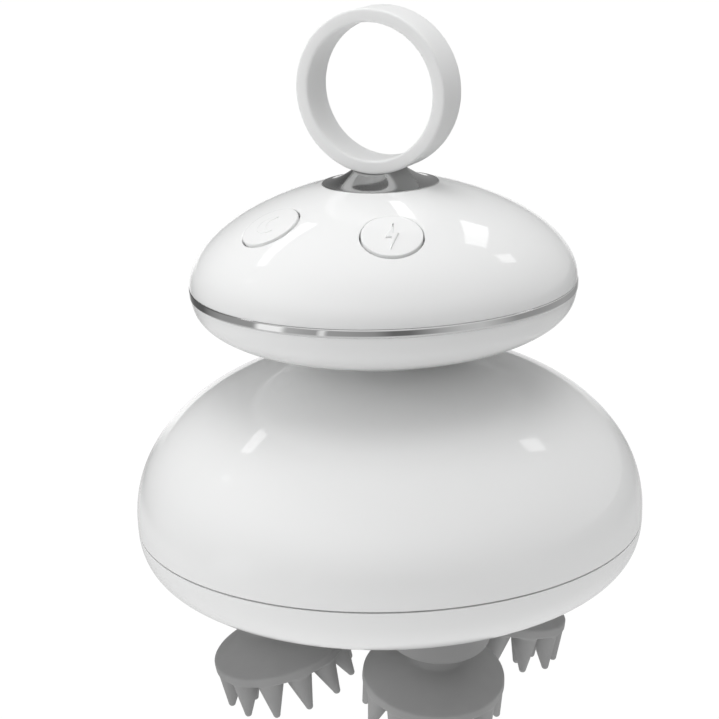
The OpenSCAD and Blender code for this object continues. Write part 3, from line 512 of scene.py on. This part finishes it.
# The mouth is the rounding of a button's hole, out from the hole's wall and up from the pod's surface
button = {"radius": 5.6, "gap": 0.25, "place": 25, "powerTurn": 30.4, "relaxTurn": -28.8,
          "depth": 3.4, "edge": 0.3, "edgeLow": -0.8, "flange": 6.8, "flangeTop": -2.6,
          "mouth": ((1.8, 0.7), (0.3, 0.02), (0.16, -0.03), (0.06, -0.11), (0, -0.26)),
          "travelHole": 7.2, "travelTop": -2.5, "travelLow": -16,
          "proud": 0.32, "iconSunk": 0.3, "topRings": 14, "steps": 96}
bolt = {"size": 0.66, "outward": 0.5, "height": 0.36, "edge": 0.2, "cuts": 5,
        "corners": ((0.16, 1), (-0.34, -0.14), (-0.05, -0.14), (-0.16, -1), (0.34, 0.14), (0.05, 0.14))}
moon = {"size": 0.45, "outward": 0, "height": 0.08, "edge": 0.04, "bite": 0.85, "apart": 0.61,
        "turn": 125, "rows": 40, "columns": 4}
holeRadius = button["radius"] + button["gap"]
holeLine = ([(0, button["mouth"][0][1])] + [(holeRadius + out, z) for out, z in button["mouth"]]
            + [(holeRadius, button["travelTop"]), (button["travelHole"], button["travelTop"]),
               (button["travelHole"], button["travelLow"]), (0, button["travelLow"])])
places = {"power": podPlace(button["powerTurn"], button["place"]),
          "relax": podPlace(button["relaxTurn"], button["place"])}
form = carved(form, [draped(spun(holeLine, button["steps"], closed=False), place)
                     for place in places.values()])
# The crown gives shares of the radius with their heights
pin = {"radius": 1.2, "place": 33, "turn": 180, "spread": 4, "length": 4.5, "play": 0.02, "cutTop": 3,
       "crown": ((0, 0), (0.4, -0.01), (0.75, -0.06)), "rim": -0.22, "edge": 0.1,
       "steps": 40, "holeSteps": 48}
pinPlaces = [podPlace(pin["turn"], pin["place"]) @ Matrix.Translation((0, side * pin["spread"], 0))
             for side in (-1, 1)]
form = carved(form, [rod(pin["radius"] + pin["play"], -pin["length"], pin["cutTop"], place,
                         pin["holeSteps"]) for place in pinPlaces])
finishPiece("podUpper", form, podWhitePaintedLighter, "housing", ["pod_upper_shell"])
print("pod made")


def capForm(place):
    r, proud, rings = button["radius"], button["proud"], button["topRings"]
    line = [(r * i / rings, proud) for i in range(rings)]
    line += [(r, proud, button["edge"]), (r, button["edgeLow"]), (r, button["flangeTop"]),
             (button["flange"], button["flangeTop"]), (button["flange"], -button["depth"]),
             (0, -button["depth"])]
    return draped(spun(line, button["steps"], closed=False), place)


# A flat face becomes a raised sign with soft upper edges, sunk a little into the cap; steep is in radians
def signForm(flat, sign, place, steep=1):
    bmesh.ops.translate(flat, vec=(sign["outward"], 0, button["proud"] - button["iconSunk"]),
                        verts=flat.verts)
    raised = bmesh.ops.extrude_face_region(flat, geom=list(flat.faces))
    tops = [g for g in raised["geom"] if isinstance(g, bmesh.types.BMVert)]
    bmesh.ops.translate(flat, vec=(0, 0, button["iconSunk"] + sign["height"]), verts=tops)
    bmesh.ops.recalc_face_normals(flat, faces=flat.faces)
    rims = [e for e in flat.edges if all(v in tops for v in e.verts) and e.calc_face_angle(0) > steep]
    bmesh.ops.bevel(flat, geom=rims, offset=sign["edge"], affect="EDGES", segments=3, profile=0.5,
                    material=-1)
    return draped(flat, place)


def boltFlat():
    size = bolt["size"] * button["radius"]
    flat = bmesh.new()
    flat.faces.new([flat.verts.new((-y * size, x * size, 0)) for x, y in bolt["corners"]])
    bmesh.ops.subdivide_edges(flat, edges=flat.edges, cuts=bolt["cuts"])
    return flat


# A crescent as a strip between its outer arc and the arc that bites into it
def moonFlat():
    size = moon["size"] * button["radius"]
    bite, apart, turn = moon["bite"] * size, moon["apart"] * size, math.radians(moon["turn"])
    outerEnd = math.acos((apart ** 2 + size ** 2 - bite ** 2) / (2 * apart * size))
    innerEnd = math.acos((apart ** 2 + bite ** 2 - size ** 2) / (2 * apart * bite))
    count, across = moon["rows"], moon["columns"]
    flat = bmesh.new()
    rows = []
    for k in range(count + 1):
        t = k / count
        a = turn + outerEnd + (math.tau - 2 * outerEnd) * t
        b = turn + math.pi - innerEnd + 2 * innerEnd * t
        outer = Vector((size * math.cos(a), size * math.sin(a), 0))
        inner = Vector((apart * math.cos(turn) + bite * math.cos(b),
                        apart * math.sin(turn) + bite * math.sin(b), 0))
        rows.append([flat.verts.new(outer.lerp(inner, i / across)) for i in range(across + 1)])
    for row, following in zip(rows, rows[1:]):
        for i in range(across):
            flat.faces.new((row[i], row[i + 1], following[i + 1], following[i]))
    bmesh.ops.remove_doubles(flat, verts=flat.verts, dist=1e-4)
    return flat


for name, sign, flat in (("power", bolt, boltFlat()), ("relax", moon, moonFlat())):
    cap = joined([capForm(places[name]), signForm(flat, sign, places[name])])
    finishPiece(name + "Cap", cap, buttonWhitePaintedLighter, name + "_key", [name + "_button"])
print("buttons made")

pinLine = ([(pin["radius"] * share, z) for share, z in pin["crown"]]
           + [(pin["radius"], pin["rim"], pin["edge"]), (pin["radius"], -pin["length"]),
              (0, -pin["length"])])
for side, place in zip("LR", pinPlaces):
    finishPiece("chargePin" + side, draped(spun(pinLine, pin["steps"], closed=False), place),
                finishes["contact_gold"], "housing", ["charge_pins"])

foot = {"radius": 11.1, "seat": podUpper["footSeat"], "rim": 64.5227, "edge": 0.12, "neck": 4.7,
        "top": 67.345, "flare": 1.7, "flareSteps": 40, "steps": 160}
ring = {"height": 81.9627, "outer": 15.45, "bore": 12.87, "width": 7.97, "edge": 0.55, "steps": 192,
        "seatHalf": 20, "seatSteps": 512}
screwHole = {"radius": 1.5, "low": 60, "footTop": 70, "ringTop": 68.39, "steps": 48}
flare = [(foot["radius"] + (foot["neck"] - foot["radius"]) * t,
          foot["rim"] + (foot["top"] - foot["rim"]) * t ** foot["flare"])
         for t in [i / foot["flareSteps"] for i in range(1, foot["flareSteps"] + 1)]]
form = spun([(0, foot["seat"]), (foot["radius"], foot["seat"]), (foot["radius"], foot["rim"], foot["edge"])]
            + flare + [(0, foot["top"])], foot["steps"], closed=False)
ringTurn = Matrix.Translation((0, 0, ring["height"])) @ Matrix.Rotation(math.radians(90), 4, "X")
form = carved(form, [rod(ring["outer"], -ring["seatHalf"], ring["seatHalf"], ringTurn, ring["seatSteps"])])
form = carved(form, [rod(screwHole["radius"], screwHole["low"], screwHole["footTop"],
                         steps=screwHole["steps"])])
finishPiece("ringFoot", form, footChromePaintedDarker, "housing", ["handle_foot"])

half, edge = ring["width"] / 2, ring["edge"]
form = spun([(ring["bore"], -half, edge), (ring["outer"], -half, edge), (ring["outer"], half, edge),
             (ring["bore"], half, edge)], ring["steps"], place=ringTurn)
form = carved(form, [rod(screwHole["radius"], screwHole["low"], screwHole["ringTop"],
                         steps=screwHole["steps"])])
finishPiece("fingerRing", form, satinWhite, "housing", ["ring_handle"])
print("handle made")

head = {"rimThick": 1.9, "rimFoot": 13.7, "footTop": -1.6, "rim": 13.6, "rimTop": -0.2, "rimEdge": 0.2,
        "capTop": 5.1, "capHeight": 4.845, "capFlare": 0.6, "capSoft": 0.3, "neck": 4.3, "neckFoot": 1.5,
        "neckTop": 10.878, "fingers": 12, "root": 10.6, "rootLow": 1.2, "tip": 12.72, "tipLow": 8.7,
        "rootSize": 3.1, "tipSize": 0.75, "tipRings": 6, "innerFingers": 8, "innerTurn": 8,
        "innerRoot": 6.996, "innerTip": 8.196, "innerSize": 2.2, "steps": 128, "fingerSteps": 28,
        "voxel": 0.22, "smoothing": 2, "smoothShare": 0.5}
collar = {"radius": 10.1, "low": 9.4783, "seat": cover["seat"], "top": 19.6783, "flange": 11.7,
          "pocket": 4.9, "pocketTop": 12.0783, "web": 1.6, "hollow": 8.5, "tube": 6, "bush": 3.5,
          "bushLow": 13.6783, "seal": 4.4, "edge": 0.45, "pocketEdge": 0.2, "steps": 96}


def fingerForm(root, tip, turn, size):
    along = head["tipLow"] - head["rootLow"]
    length, blunt = math.hypot(tip - root, along), head["tipSize"]
    line = [(0, 0), (size, 0)]
    line += [(blunt * math.cos(a), length + blunt * math.sin(a))
             for a in [math.radians(90 * k / head["tipRings"]) for k in range(head["tipRings"])]]
    line.append((0, length + blunt))
    place = (Matrix.Rotation(math.radians(turn), 4, "Z") @ Matrix.Translation((root, 0, -head["rootLow"]))
             @ Matrix.Rotation(math.pi - math.atan2(tip - root, along), 4, "Y"))
    return spun(line, head["fingerSteps"], closed=False, place=place)


def fingersRound(count, root, tip, size, turn=0):
    return [fingerForm(root, tip, turn + k * 360 / count, size) for k in range(count)]


body = spun([(0, -head["rimThick"]), (head["rimFoot"], -head["rimThick"]),
             (head["rimFoot"], head["footTop"]), (head["rim"], head["rimTop"]),
             (head["rim"] - head["rimEdge"], 0),
             (head["capTop"] + head["capFlare"], head["capHeight"] - head["capSoft"]),
             (head["capTop"], head["capHeight"] + head["capSoft"]),
             (head["neck"], head["capHeight"] + head["neckFoot"]),
             (head["neck"], head["neckTop"]), (0, head["neckTop"])], head["steps"], closed=False)
fingers = fingersRound(head["fingers"], head["root"], head["tip"], head["rootSize"])
fingers += fingersRound(head["innerFingers"], head["innerRoot"], head["innerTip"], head["innerSize"],
                        head["innerTurn"])
fingers.append(fingerForm(0, 0, 0, head["innerSize"]))
rough = asObject(joined([body] + fingers), "head")
melt = rough.modifiers.new("melt", "REMESH")
melt.mode, melt.voxel_size = "VOXEL", head["voxel"]
soften = rough.modifiers.new("soften", "SMOOTH")
soften.factor, soften.iterations = head["smoothShare"], head["smoothing"]
headForm = evaluated(rough)
print("head form made:", len(headForm.faces), "faces")
c = collar
collarLine = [(c["pocket"], c["low"], c["pocketEdge"]), (c["radius"], c["low"], c["edge"]),
              (c["radius"], c["seat"]), (c["flange"], c["seat"]), (c["flange"], c["top"]),
              (c["hollow"], c["top"]), (c["hollow"], c["low"] + c["web"]), (c["tube"], c["low"] + c["web"]),
              (c["tube"], c["top"]), (c["bush"], c["top"]), (c["bush"], c["bushLow"]),
              (c["seal"], c["bushLow"]), (c["seal"], c["pocketTop"]), (c["pocket"], c["pocketTop"])]
for key, turn in headTurns.items():
    place = toMetres @ headPlace(turn)
    turned = place @ Matrix.Rotation(math.radians(fingerTurns[key]), 4, "Z")
    finishPiece("massageHead_" + key, headForm.copy(), silicone, "head_" + key,
                ["massage_head_" + key], sharp=180, transform=turned)
    finishPiece("collar_" + key + "_piece", spun(collarLine, c["steps"]), collarGrey, "housing",
                ["collar_" + key], transform=place)
print("heads made")

# Levels of light round the object. A room gives them for heights in degrees, each from azimuth -180 on in
# even steps; the horizon pairs azimuths with levels. Surfaces that mirror see other levels than soft light
# gives, as a studio's screens and flags make it
horizon = [
    (-180, 0.22), (-168, 0.30), (-141, 0.31), (-137, 1.0), (-123, 1.0), (-119, 0.45), (-105, 0.36),
    (-101, 0.34), (-99, 0.8), (-97, 0.8), (-95, 0.34), (-85, 0.32), (-69, 0.27), (-59, 0.12), (-50, 0.13),
    (-34, 0.37), (-21, 0.51), (-9, 0.55), (3, 0.42), (15, 0.28), (30, 0.30), (60, 0.36), (88, 0.30),
    (97, 0.75), (111, 0.95), (138, 1.0), (146, 0.20), (156, 0.10), (171, 0.09), (180, 0.22)]
softRoom = {0: (2.34, 2.44, 1.56, 0.76, 1.15, 1.05, 1.34, 1.67),
            30: (0.33, 0.61, 0.49, 0, 0.23, 0, 0, 0.01), 60: (0.77, 0.76, 1.04, 0.79), 90: (5.91,)}
mirrorRoom = {0: (0.10, 0.50, 0.50, 0.50, 0.60, 0.90, 0.45, 0.12),
              30: (0.15, 0.90, 1.20, 1.00, 0.80, 0.50, 0.30, 0.12),
              60: (0.15, 0.30, 0.30, 0.20), 90: (0.32,)}
softFloor = {"near": (0.32, 0.8, 1.07, 0.84, 1.21, 0.8, 0, 0),
             "far": (0.67, 1.03, 0.07, 0, 0.31, 0, 0, 0)}
mirrorFloor = {"near": (0.6,), "far": horizon}
studio = {"seen": 1.05, "floorSeen": 1.0, "nearTo": 0.16, "farFrom": 0.24, "floorSize": 14,
          "floorGap": 0.0001, "floorGrey": 0.02, "floorRough": 0.9}


def levelsAround(nodes, links, vector, levels, label):
    around = nodes.new("ShaderNodeTexGradient")
    around.gradient_type = "RADIAL"
    links.new(vector, around.inputs["Vector"])
    stops = list(levels)
    if not isinstance(stops[0], tuple):
        stops = [(360 * k / len(stops) - 180, level) for k, level in enumerate(stops)] + [(180, stops[0])]
    ramp = nodes.new("ShaderNodeValToRGB")
    ramp.label = label
    while len(ramp.color_ramp.elements) < len(stops):
        ramp.color_ramp.elements.new(0.5)
    for element, (azimuth, level) in zip(ramp.color_ramp.elements, stops):
        element.position, element.color = azimuth / 360 + 0.5, (level, level, level, 1)
    links.new(around.outputs["Fac"], ramp.inputs["Fac"])
    return ramp.outputs["Color"]


# From one level to another as a value goes from low to high
def blendOver(nodes, links, value, low, high, first, second):
    share = nodes.new("ShaderNodeMapRange")
    share.inputs["From Min"].default_value, share.inputs["From Max"].default_value = low, high
    links.new(value, share.inputs["Value"])
    mix = nodes.new("ShaderNodeMix")
    links.new(share.outputs["Result"], mix.inputs["Factor"])
    links.new(first, mix.inputs["A"])
    links.new(second, mix.inputs["B"])
    return mix.outputs["Result"]


# The camera sees one level, mirroring surfaces another, and everything else the soft one
def lightByRay(nodes, links, seen, mirrored, soft):
    path = nodes.new("ShaderNodeLightPath")
    first = nodes.new("ShaderNodeMix")
    links.new(soft, first.inputs["A"])
    links.new(mirrored, first.inputs["B"])
    links.new(path.outputs["Is Glossy Ray"], first.inputs["Factor"])
    second = nodes.new("ShaderNodeMix")
    second.inputs["B"].default_value = seen
    links.new(path.outputs["Is Camera Ray"], second.inputs["Factor"])
    links.new(first.outputs["Result"], second.inputs["A"])
    return second.outputs["Result"]


world = bpy.data.worlds.new("studio")
bpy.context.scene.world = world
world.use_nodes = True
nodes, links = world.node_tree.nodes, world.node_tree.links
background = nodes["Background"]
background.inputs["Color"].default_value = (1, 1, 1, 1)
where = nodes.new("ShaderNodeTexCoord").outputs["Generated"]
parts = nodes.new("ShaderNodeSeparateXYZ")
links.new(where, parts.inputs["Vector"])
height = nodes.new("ShaderNodeMath")
height.operation = "ARCSINE"
links.new(parts.outputs["Z"], height.inputs[0])


def roomOf(room, label):
    heights = sorted(room)
    level = levelsAround(nodes, links, where, room[0], label + " 0")
    for low, high in zip(heights, heights[1:]):
        above = levelsAround(nodes, links, where, room[high], label + " " + str(high))
        level = blendOver(nodes, links, height.outputs["Value"], math.radians(low), math.radians(high),
                          level, above)
    return level


links.new(lightByRay(nodes, links, studio["seen"], roomOf(mirrorRoom, "mirror"), roomOf(softRoom, "soft")),
          background.inputs["Strength"])

floorForm = bmesh.new()
bmesh.ops.create_grid(floorForm, x_segments=4, y_segments=4, size=studio["floorSize"] / 2)
floor = asObject(floorForm, "floor")
floor.data.transform(Matrix.Translation((0, 0, cadLow.z - studio["floorGap"])))
pale = bpy.data.materials.new("pale floor")
pale.use_nodes = True
nodes, links = pale.node_tree.nodes, pale.node_tree.links
shader = nodes["Principled BSDF"]
shader.inputs["Base Color"].default_value = (*grey(studio["floorGrey"]), 1)
shader.inputs["Roughness"].default_value = studio["floorRough"]
shader.inputs["Specular IOR Level"].default_value = 0
shader.inputs["Emission Color"].default_value = (1, 1, 1, 1)
where = nodes.new("ShaderNodeTexCoord").outputs["Object"]
away = nodes.new("ShaderNodeVectorMath")
away.operation = "LENGTH"
links.new(where, away.inputs[0])


def floorOf(levels, label):
    near, far = (levelsAround(nodes, links, where, levels[k], label + " " + k) for k in ("near", "far"))
    return blendOver(nodes, links, away.outputs["Value"], studio["nearTo"], studio["farFrom"], near, far)


links.new(lightByRay(nodes, links, studio["floorSeen"], floorOf(mirrorFloor, "mirror"),
                     floorOf(softFloor, "soft")), shader.inputs["Emission Strength"])
floor.data.materials.append(pale)


# A soft panel that faces the object from a direction; azimuth 0 is +X and -90 the front
def panel(name, azimuth, elevation, width, height, turn, power, distance=1.2, aim=(0, 0, 0.08)):
    light = bpy.data.lights.new(name, "AREA")
    light.shape, light.size, light.size_y, light.energy = "RECTANGLE", width, height, power
    made = bpy.data.objects.new(name, light)
    bpy.context.scene.collection.objects.link(made)
    a, e = math.radians(azimuth), math.radians(elevation)
    out = Vector((math.cos(a) * math.cos(e), math.sin(a) * math.cos(e), math.sin(e)))
    made.location = Vector(aim) + out * distance
    roll = Matrix.Rotation(math.radians(turn), 3, "Z")
    made.rotation_euler = (out.to_track_quat("Z", "Y").to_matrix() @ roll).to_euler()
    made.visible_camera = made.visible_diffuse = False


windows = [  # azimuth, elevation, width, height, turn, power
    (108, 49.5, 0.09, 0.25, 21, 0.19),
    (78.5, 48.5, 0.15, 0.36, 50, 0.38),
    (54, 43.5, 0.15, 0.16, 25, 0.17),
    (160, 47.5, 0.58, 0.10, -5, 0.44),
    (-166, 35, 0.10, 0.08, 0, 0.03),
]
for i, window in enumerate(windows):
    panel("window" + str(i), *window)

lens = {"place": (0.156017, -0.315676, equator + 0.132983), "right": (0.893669, 0.447707, -0.030232),
        "up": (-0.100604, 0.265563, 0.958830), "forward": (-0.437304, 0.853835, -0.282366),
        "length": 94.11, "filmWidth": 36, "near": 0.01, "far": 50}
camera = bpy.data.objects.new("camera", bpy.data.cameras.new("camera"))
bpy.context.scene.collection.objects.link(camera)
columns = Matrix((lens["right"], lens["up"], [-x for x in lens["forward"]])).transposed()
camera.matrix_world = Matrix.Translation(lens["place"]) @ columns.to_4x4()
camera.data.lens, camera.data.sensor_width = lens["length"], lens["filmWidth"]
camera.data.clip_start, camera.data.clip_end = lens["near"], lens["far"]
bpy.context.scene.camera = camera
bpy.context.scene.view_settings.view_transform = "Standard"
bpy.context.scene.view_settings.look = "None"
print("light and camera made")
